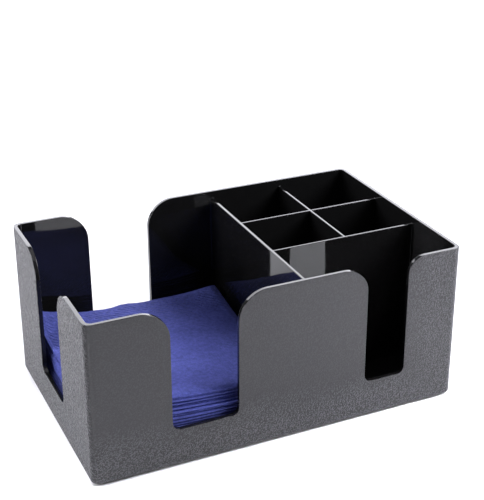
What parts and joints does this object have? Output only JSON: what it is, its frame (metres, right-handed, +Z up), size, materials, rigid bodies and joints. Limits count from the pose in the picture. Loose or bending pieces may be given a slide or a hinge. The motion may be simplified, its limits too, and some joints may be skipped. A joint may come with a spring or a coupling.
{
  "type": "napkin dispenser",
  "caption": "Open bar-top caddy with a napkin bay holding a stack of folded napkins, finger notches in its walls, a front slot and square cells behind it, on round rubber feet.",
  "frame": {"origin": "on the surface that the feet stand on, under the centre of the caddy's outline", "axes": "+X along the long side, from the napkin bay to the cells; +Y from the front wall with its two notches to the rear wall; +Z up"},
  "size_m": [0.24, 0.15, 0.104],
  "materials": {
    "caddy_plastic": "black moulded plastic, fine spark-eroded grain on the outside and high gloss inside",
    "foot_rubber": "plain black rubber",
    "napkin_tissue": "blue-violet tissue with a fine pin embossing"
  },
  "bodies": {
    "caddy": {"caddy_body": "caddy_plastic", "foot_front_left": "foot_rubber", "foot_front_right": "foot_rubber", "foot_rear_left": "foot_rubber", "foot_rear_right": "foot_rubber"},
    "napkin_stack": {"napkin_01": "napkin_tissue", "napkin_02": "napkin_tissue", "napkin_03": "napkin_tissue", "napkin_04": "napkin_tissue", "napkin_05": "napkin_tissue", "napkin_06": "napkin_tissue", "napkin_07": "napkin_tissue", "napkin_08": "napkin_tissue", "napkin_09": "napkin_tissue", "napkin_10": "napkin_tissue", "napkin_11": "napkin_tissue", "napkin_12": "napkin_tissue", "napkin_13": "napkin_tissue", "napkin_14": "napkin_tissue"},
    "upper_napkins": {"napkin_15": "napkin_tissue", "napkin_16": "napkin_tissue", "napkin_17": "napkin_tissue"},
    "top_napkin": {"napkin_18": "napkin_tissue"}
  },
  "joints": [
    {"name": "stack_lift", "type": "slide", "parent": "caddy", "child": "napkin_stack", "axis": [0, 0, 1], "range_m": [0, 0.105]},
    {"name": "upper_napkins_lift", "type": "slide", "parent": "napkin_stack", "child": "upper_napkins", "axis": [0, 0, 1], "range_m": [0, 0.08]},
    {"name": "top_napkin_lift", "type": "slide", "parent": "upper_napkins", "child": "top_napkin", "axis": [0, 0, 1], "range_m": [0, 0.08]}
  ]
}
